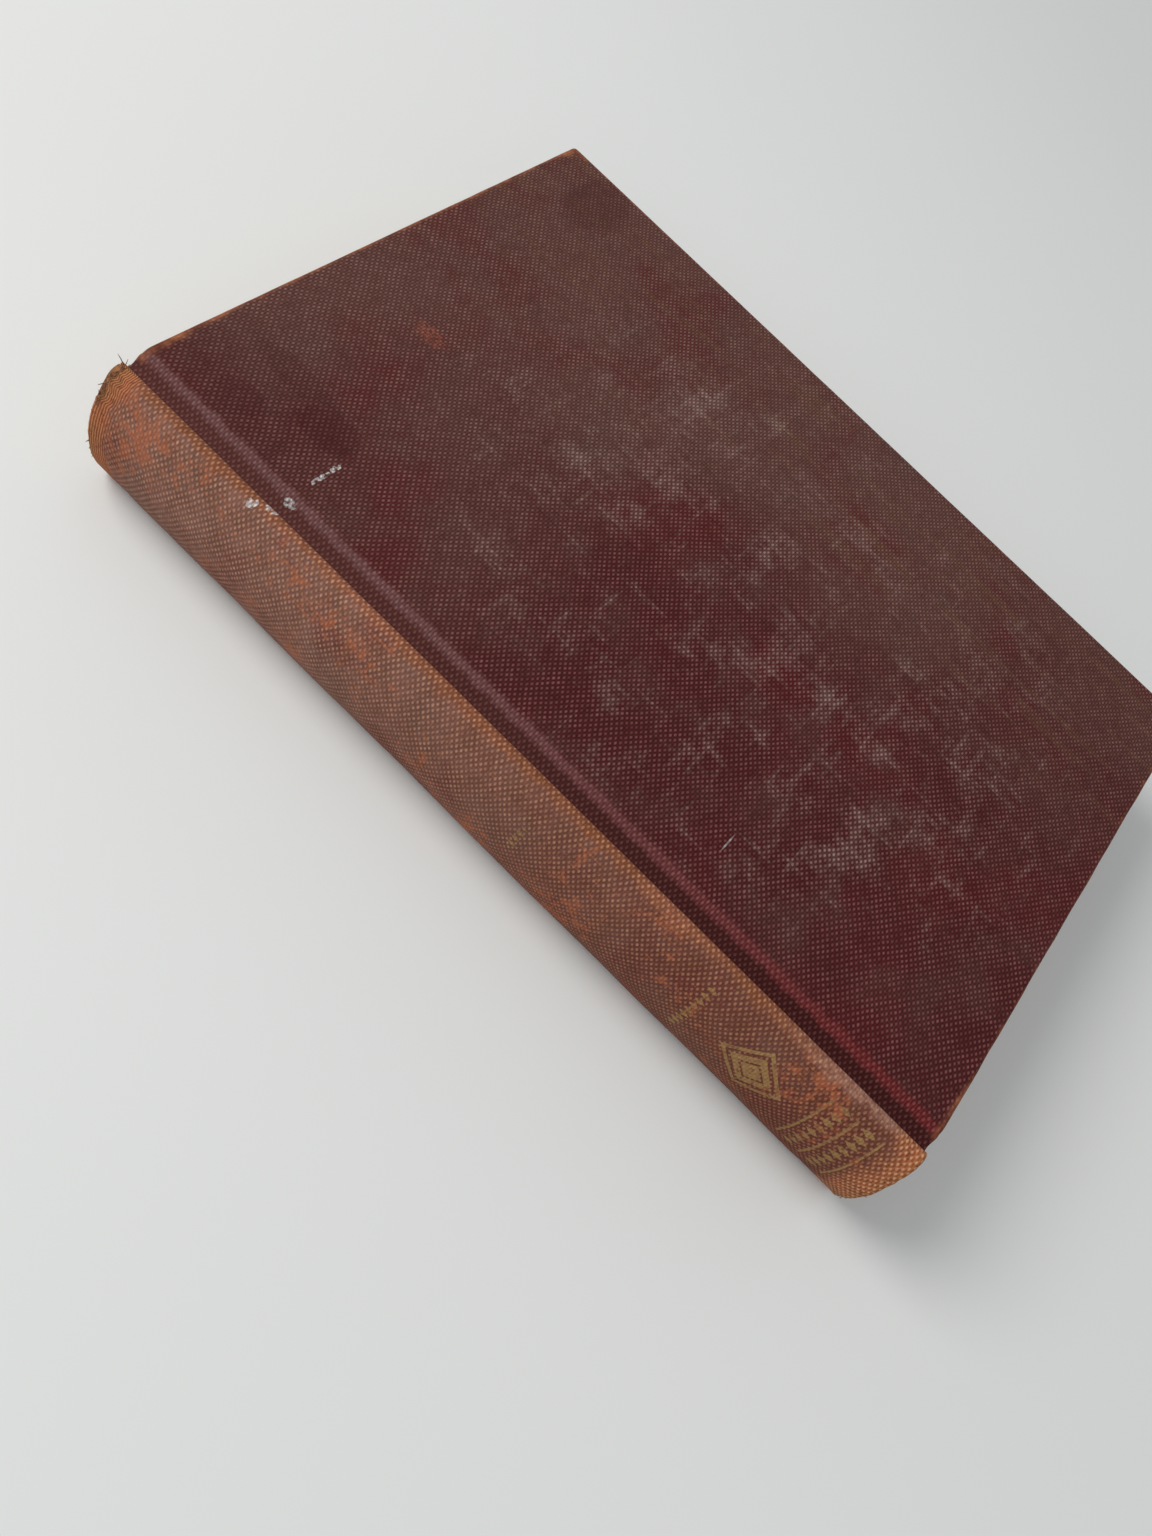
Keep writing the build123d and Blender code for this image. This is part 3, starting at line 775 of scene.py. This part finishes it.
def edge_profile(thick):
    """The way over an edge in steps: reach past the flat, depth below its face, and cloth length.

    The flat ends CORNER short of the edge. From there the cloth goes over the rounded edge, down
    its side, round again and back along the inside, as far as it is turned in.
    """
    radius = min(EDGE, thick / 2)
    steps = [(CORNER - radius) * t for t in (0.0, 0.35, 0.7, 1.0)]
    profile = [(reach, 0.0) for reach in steps]
    turns = np.linspace(0, math.pi / 2, 6)
    profile += [(CORNER - radius * (1 - math.sin(a)), radius * (1 - math.cos(a))) for a in turns[1:]]
    profile += [(CORNER - radius * (1 - math.cos(a)), thick - radius * (1 - math.sin(a))) for a in turns]
    profile += [(CORNER - radius - TURN_IN * t, thick) for t in (0.3, 0.65, 1.0)]
    lengths = [0.0]
    for (r0, d0), (r1, d1) in zip(profile, profile[1:]):
        lengths.append(lengths[-1] + math.hypot(r1 - r0, d1 - d0))
    return [(r, d, length) for (r, d), length in zip(profile, lengths)]


STEPS = len(edge_profile(SHELL))
FLAT_HALF = HALF_HEIGHT - CORNER


def rows_along_y():
    """(y of the flat, step over the edge, sign) for every row from head to tail."""
    flat = list(np.linspace(-FLAT_HALF, FLAT_HALF, 150))
    rows = [(-FLAT_HALF, k, -1) for k in range(STEPS - 1, 0, -1)]
    rows += [(y, 0, 1 if y > 0 else -1) for y in flat]
    rows += [(FLAT_HALF, k, 1) for k in range(1, STEPS)]
    return rows


def bulge_out(s, y):
    """How far the cloth stands out from the case's line, in mm.

    Over the spine it is slack, dented and crushed at its ends. The front cover's side is pressed
    in a little, because the book lies on it.
    """
    spine = ease(abs(s), CREST_S + 2, CREST_S - 3)
    calm = ease(HALF_HEIGHT - abs(y), 0, 25)
    slack = 0.22 * ripple(s, y, 33, 2.0) + 0.1 * ripple(s, y, 11, 4.0)
    cap = ease(abs(y), HALF_HEIGHT - 9, HALF_HEIGHT)
    crushed = cap * (0.22 * ripple(s, y, 5, 6.0) - 0.1)
    dent = -0.16 * ease(abs(y), HALF_HEIGHT - 12, HALF_HEIGHT - 9) * (1 - cap)
    pressed = PRESSED if s < 0 else 0
    return spine * (slack * calm + crushed + dent) + 0.05 * ripple(s, y, 16, 8.0) - pressed


def end_shift(s, sign):
    """How far the spine's ends are pushed in or torn, in mm along y."""
    spine = ease(abs(s), CREST_S + 4, CREST_S + 1)
    wobble = 0.12 * ripple(s, sign * 50, 4, 11.0) + 0.1 * ripple(s, sign * 50, 1.3, 12.0) - 0.12
    if sign < 0:
        return spine * wobble
    torn = ease(s, CREST_S - 9, CREST_S - 6) * ease(s, CREST_S + 1.2, CREST_S - 0.2)
    ragged = 1.3 + 1.0 * ripple(s, 50, 1.3, 13.0)
    return spine * (wobble - torn * ragged)


def cloth_point(s, row, thick, front):
    """Row position and cloth coordinate of the cloth at s in one of the rows."""
    flat_y, step, sign = row
    reach, depth, length = edge_profile(thick)[step]
    on_end = step > 0
    y = flat_y + sign * reach if on_end else flat_y
    along = flat_y + sign * length if on_end else flat_y
    pull = ease(abs(y), HALF_HEIGHT - 7, HALF_HEIGHT)
    point, normal = section(abs(s))
    out = bulge_out(s, y) - depth
    x, z = point + normal * out
    y += sign * pull * end_shift(s, sign)
    return to_row(x, y, z, front), (s, along, 0)


def wrapped_piece(name, columns, thick_at, material):
    """A stretch of the case's cloth, through these s values, folded over both ends."""
    rows = rows_along_y()
    vertices, cloth = [], []
    for row in rows:
        for s in columns:
            position, place = cloth_point(s, row, thick_at(abs(s)), s < 0)
            vertices.append(position)
            cloth.append(place)
    faces = grid_faces(len(rows), len(columns))
    return make_object(name, vertices, faces, material, True, cloth)


def spine_thickness(s):
    """Card and turned-in cloth thicken the spine, and stop at the ridge."""
    return CLOTH + (SHELL - CLOTH) * ease(s, SEAM_S, CREST_S)


def joint_thickness(s):
    """Thin in the groove, and as thick as the cover where the board begins."""
    thin = CLOTH + (JOINT_THICK - CLOTH) * ease(s, SEAM_S, SEAM_S + 1)
    return thin + (WRAP_THICK - thin) * ease(s, EDGE_S - 2.2, EDGE_S)


def spine_piece(material):
    """Cloth over the spine, from ridge to ridge and folded in at both ends."""
    half = list(np.linspace(0, CREST_S - 4, 26)) + list(np.linspace(CREST_S - 3.6, SEAM_S, 20))
    columns = [-s for s in reversed(half[1:])] + half
    piece = wrapped_piece("spine_cloth_wrap", columns, spine_thickness, material)
    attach(piece, "text_block")
    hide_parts("spine_cloth")
    return piece


def joint_piece(side, material):
    """Cloth through a groove, from the spine's seam to the cover's seam."""
    sign = 1 if side == "back" else -1
    columns = [sign * s for s in np.linspace(SEAM_S, END_S, 34)]
    if sign < 0:
        columns.reverse()
    piece = wrapped_piece(f"{side}_groove_cloth", columns, joint_thickness, material)
    to_row(SPINE_SEAM, 0, MIDDLE)
    to_row(BEND_END, 0, MIDDLE)
    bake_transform(piece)
    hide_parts(f"{side}_joint_cloth")
    return piece


def cover_piece(side, material):
    """Cloth over a board: flat, three rounded edges, rounded corners and turned-in cloth."""
    front = side == "front"
    sign = -1 if front else 1
    profile = edge_profile(WRAP_THICK)
    flat_x = COVER_WIDTH - CORNER
    columns = [(x, 0) for x in np.linspace(COVER_SEAM, flat_x, 90)]
    columns += [(flat_x, k) for k in range(1, STEPS)]
    rows = rows_along_y()
    vertices, cloth = [], []
    for flat_y, row_step, row_sign in rows:
        for x0, column_step in columns:
            reach, depth, length = profile[max(row_step, column_step)]
            way = np.array([column_step, row_sign * row_step], float)
            if way.any():
                way /= np.linalg.norm(way)
            inward = min(reach - MITRE, 0) if depth > 0 else 0
            x = x0 + inward * ease(x0, flat_x - MITRE_RUN, flat_x)
            y = flat_y + inward * row_sign * ease(abs(flat_y), FLAT_HALF - MITRE_RUN, FLAT_HALF)
            x, y = np.array([x, y]) + way * (reach - inward)
            s, along = np.array([x0 + EDGE_S, flat_y]) + way * length
            lift = bulge_out(s * sign, y) if depth < EDGE else 0
            blunt = BLUNT * ripple(x, y, 7, 14.0) * ease(reach, 0.9, CORNER) * ease(x, 3, 10)
            x, y = np.array([x, y]) + way * blunt
            level = LINE[-1, 1] if x0 < 3 else TOP
            z = level + (TOP - level) * ease(x0, COVER_SEAM, 3) + lift - depth
            vertices.append(to_row(x, y, z, front))
            cloth.append((s * sign, along, 0))
    faces = grid_faces(len(rows), len(columns))
    piece = make_object(f"{side}_cover_wrap", vertices, faces, material, not front, cloth)
    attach(piece, f"{side}_cover")
    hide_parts(f"{side}_cover_cloth")
    return piece


# ---------------------------------------------------------------- paper that bends

def flat_sheet(name, xs, z_low, z_high, material, front):
    """A stiff, slightly wavy sheet between two heights."""
    top, bottom = [], []
    for y in np.linspace(-SHEET_HIGH[1], SHEET_HIGH[1], 25):
        waves = [0.02 * ripple(x, y, 25, 3.0) * ease(x, xs[0], xs[0] + 20) for x in xs]
        top.append([to_row(x, y, z_high + wave, front) for x, wave in zip(xs, waves)])
        bottom.append([to_row(x, y, z_low + wave, front) for x, wave in zip(xs, waves)])
    return solid_sheet(name, top, bottom, material, flip=not front)


def turning_sheet(node, material):
    """A free endpaper or group of leaves, as a stiff, slightly wavy sheet with a finer mesh near the
    gutter.
    """
    low, high = box(node)
    front = node.startswith("front")
    z_low, z_high = (TOP - high[2], TOP - low[2]) if front else (low[2], high[2])
    start = low[0] - ZERO_X
    end = high[0] - ZERO_X
    bending = start + np.linspace(0, CURL, 26)
    stiff = np.linspace(start + CURL + 3, end, 24)
    xs = [start - FOLD_OVERLAP, *bending, *stiff]
    piece = flat_sheet(f"{node}_sheet", xs, z_low, z_high, material, front)
    to_row(start, 0, MIDDLE)
    to_row(start + CURL, 0, MIDDLE)
    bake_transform(piece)
    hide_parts(node)
    return piece


def hinge_paper(side, material):
    """Endpaper and gauze across the inside of a joint, from the block's fold to the pastedown."""
    front = side == "front"
    xs = np.linspace(FOOT_X, 0.9, 22)
    thick = 0.12
    level = PAPER_LOW[2]
    pasted = PASTED_LOW[2] + 0.01
    block_top = SHEET_HIGH[2] + 0.02
    top, bottom = [], []
    for y in np.linspace(-SHEET_HIGH[1], SHEET_HIGH[1], 25):
        line = []
        for x in xs:
            z = block_top + (level - block_top) * ease(x, FOOT_X, FOOT_X + 1.5)
            z += (pasted - level) * ease(x, -1.5, 0.4)
            line.append((x, y, z))
        bottom.append([to_row(*p, front) for p in line])
        top.append([to_row(x, y, z + thick, front) for x, y, z in line])
    piece = solid_sheet(f"{side}_hinge_paper", top, bottom, material, flip=not front)
    to_row(FOOT_X, 0, MIDDLE)
    to_row(BEND_END, 0, MIDDLE)
    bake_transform(piece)
    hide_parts(f"{side}_joint_paper", f"{side}_joint_gauze")
    return piece


# ---------------------------------------------------------------- frayed threads

HEAD = -1                 # sign of y at each end of the spine
TAIL = 1
THREAD_STEPS = 7


def thread_tube(points, radius):
    """Vertices and faces of a thin tube through these points, in mm, tapering to its loose end."""
    sides = 5
    vertices, faces = [], []
    for i, point in enumerate(points):
        ahead = points[min(i + 1, len(points) - 1)] - points[max(i - 1, 0)]
        ahead.normalize()
        across = ahead.orthogonal().normalized()
        other = ahead.cross(across)
        size = radius * (1 - 0.6 * i / (len(points) - 1))
        for k in range(sides):
            turn = 2 * math.pi * k / sides
            vertices.append(point + (across * math.cos(turn) + other * math.sin(turn)) * size)
    for i in range(len(points) - 1):
        for k in range(sides):
            a, b = i * sides + k, i * sides + (k + 1) % sides
            faces.append((a, b, b + sides, a + sides))
    faces.append(tuple(reversed(range(sides))))
    faces.append(tuple(range(len(vertices) - sides, len(vertices))))
    return vertices, faces


def fray(name, count, sign, s_range, length, material, seed):
    """Loose threads at one end of the spine, each a short wandering tube."""
    rng = random.Random(seed)
    vertices, faces = [], []
    for _ in range(count):
        s = rng.uniform(*s_range)
        point, normal = section(abs(s))
        depth = rng.uniform(0.1, 0.9)
        x, z = point - normal * depth
        y = sign * (HALF_HEIGHT - 0.4) + sign * end_shift(s, sign)
        place = Vector((x, y, z if s > 0 else TOP - z))
        out = Vector((normal[0], 0, normal[1] if s > 0 else -normal[1]))
        along = Vector((out.z, 0, -out.x)) * rng.choice((-1, 1))
        way = along * rng.uniform(0.5, 1) + Vector((0, sign, 0)) * rng.uniform(0, 0.15)
        way += out * rng.uniform(-0.15, 0.3)
        way.normalize()
        reach = rng.uniform(*length)
        points = [place.copy()]
        for _ in range(THREAD_STEPS):
            way += Vector([rng.uniform(-0.22, 0.22) for _ in range(3)])
            way.normalize()
            place = place + way * reach / THREAD_STEPS
            points.append(place.copy())
        tube, quads = thread_tube(points, rng.uniform(0.08, 0.17))
        base = len(vertices)
        vertices += [to_row(*v) for v in tube]
        faces += [tuple(i + base for i in q) for q in quads]
    piece = make_object(name, vertices, faces, material)
    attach(piece, "text_block")
    return piece


# ---------------------------------------------------------------- CAD nodes that still show

# A word in a node's name, and the material it gets
NODE_MATERIALS = {
    "signature": "pages",
    "sewn_fold": "pages",
    "pastedown": "pasted",
    "endpaper": "fold",
    "joint_paper": "fold",
    "_board": "board",
    "inlay": "card",
    "lining": "lining",
    "gauze": "gauze",
    "thread": "thread",
}


def dress_nodes(materials):
    """Gives the paper, board, gauze and thread of the CAD model their materials."""
    for name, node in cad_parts.items():
        kinds = [kind for word, kind in NODE_MATERIALS.items() if word in name]
        if kinds:
            node.data.materials.clear()
            node.data.materials.append(materials[kinds[0]])


# ---------------------------------------------------------------- camera, light and floor

# The camera's view in degrees, its place in metres and its lens in mm
AZIMUTH = 5.19
ELEVATION = 55.76
ROLL = 40.19
CAMERA_PLACE = (-0.1814, -0.0211, 0.2100)
LENS = 28.28
FLOOR_HALF = 3.0          # half the floor's side, in metres
SKY = (0.93, 0.96, 1.0, 1)
SKY_STRENGTH = 0.42


def look_from(azimuth, elevation, roll, place):
    """A camera matrix: azimuth of the view direction from +X, elevation below the horizon, roll."""
    azimuth, elevation, roll = (math.radians(a) for a in (azimuth, elevation, roll))
    level = math.cos(elevation)
    forward = Vector((level * math.cos(azimuth), level * math.sin(azimuth), -math.sin(elevation)))
    side = forward.cross(Vector((0, 0, 1))).normalized()
    above = side.cross(forward)
    right = side * math.cos(roll) + above * math.sin(roll)
    up = above * math.cos(roll) - side * math.sin(roll)
    turn = Matrix((right, up, -forward)).transposed().to_4x4()
    return Matrix.Translation(Vector(place)) @ turn


def add_camera():
    """Looks down on the book from its spine's side, rolled so that the spine lies slantwise."""
    data = bpy.data.cameras.new("camera")
    data.sensor_width = 36
    data.lens = LENS
    camera = bpy.data.objects.new("camera", data)
    camera.matrix_world = look_from(AZIMUTH, ELEVATION, ROLL, CAMERA_PLACE)
    bpy.context.scene.collection.objects.link(camera)
    bpy.context.scene.camera = camera


def add_light(name, place, size, power, color):
    """A round soft light that faces the book."""
    data = bpy.data.lights.new(name, "AREA")
    data.shape = "DISK"
    data.size = size
    data.energy = power
    data.color = color
    light = bpy.data.objects.new(name, data)
    light.location = place
    light.rotation_euler = (-Vector(place)).to_track_quat("-Z", "Y").to_euler()
    bpy.context.scene.collection.objects.link(light)


def add_studio():
    """Pale floor and soft light, mostly from above the tail of the book."""
    world = bpy.data.worlds.new("studio")
    world.use_nodes = True
    background = world.node_tree.nodes["Background"]
    background.inputs["Color"].default_value = SKY
    background.inputs["Strength"].default_value = SKY_STRENGTH
    bpy.context.scene.world = world
    bpy.context.scene.view_settings.view_transform = "Standard"
    add_light("window", (-0.25, 0.95, 0.95), 0.8, 12, (1.0, 0.98, 0.95))
    add_light("fill", (-0.9, -0.2, 0.9), 1.2, 3, (0.95, 0.98, 1.0))
    half = FLOOR_HALF
    corners = [(-half, -half, 0), (half, -half, 0), (half, half, 0), (-half, half, 0)]
    floor = make_object("floor", corners, [(0, 1, 2, 3)], floor_material())


# ---------------------------------------------------------------- put together

def build():
    """Makes every piece, then the camera and the studio."""
    cloth = book_cloth()
    materials = {
        "pages": paper("page_paper", (212, 188, 148), (228, 208, 172), bends=False),
        "leaves": paper("leaf_paper", (212, 188, 148), (228, 208, 172), bends=True),
        "endpaper": paper("endpaper", (212, 190, 150), (226, 208, 172), bends=True),
        "fold": paper("folded_endpaper", (212, 190, 150), (226, 208, 172), bends=False),
        "pasted": pasted_paper(),
        "board": fibre_board("grey_board", (104, 88, 66), (142, 124, 98)),
        "card": fibre_board("spine_card", (112, 70, 46), (158, 108, 72)),
        "lining": fibre_board("lining_paper", (140, 112, 76), (170, 142, 102)),
        "gauze": open_weave(),
        "thread": twisted_thread("linen_thread", (176, 158, 122), (222, 210, 180)),
    }
    frayed = twisted_thread("frayed_thread", (96, 60, 40), (170, 118, 78))
    dress_nodes(materials)
    spine_piece(cloth)
    for side in ("back", "front"):
        joint_piece(side, cloth)
        cover_piece(side, cloth)
        hinge_paper(side, materials["endpaper"])
        turning_sheet(f"{side}_free_endpaper", materials["endpaper"])
    for number in (1, 2, 3, 4):
        turning_sheet(f"back_leaves_{number}", materials["leaves"])
    torn = (CREST_S - 9, CREST_S + 1.5)
    fray("tail_fray_ridge", 64, TAIL, torn, (1.0, 2.4), frayed, seed=5)
    fray("tail_fray_spine", 16, TAIL, (-CREST_S, CREST_S - 6), (0.6, 1.6), frayed, seed=6)
    fray("head_fray", 14, HEAD, (-CREST_S, CREST_S + 2), (0.5, 1.5), frayed, seed=7)
    add_camera()
    add_studio()


build()
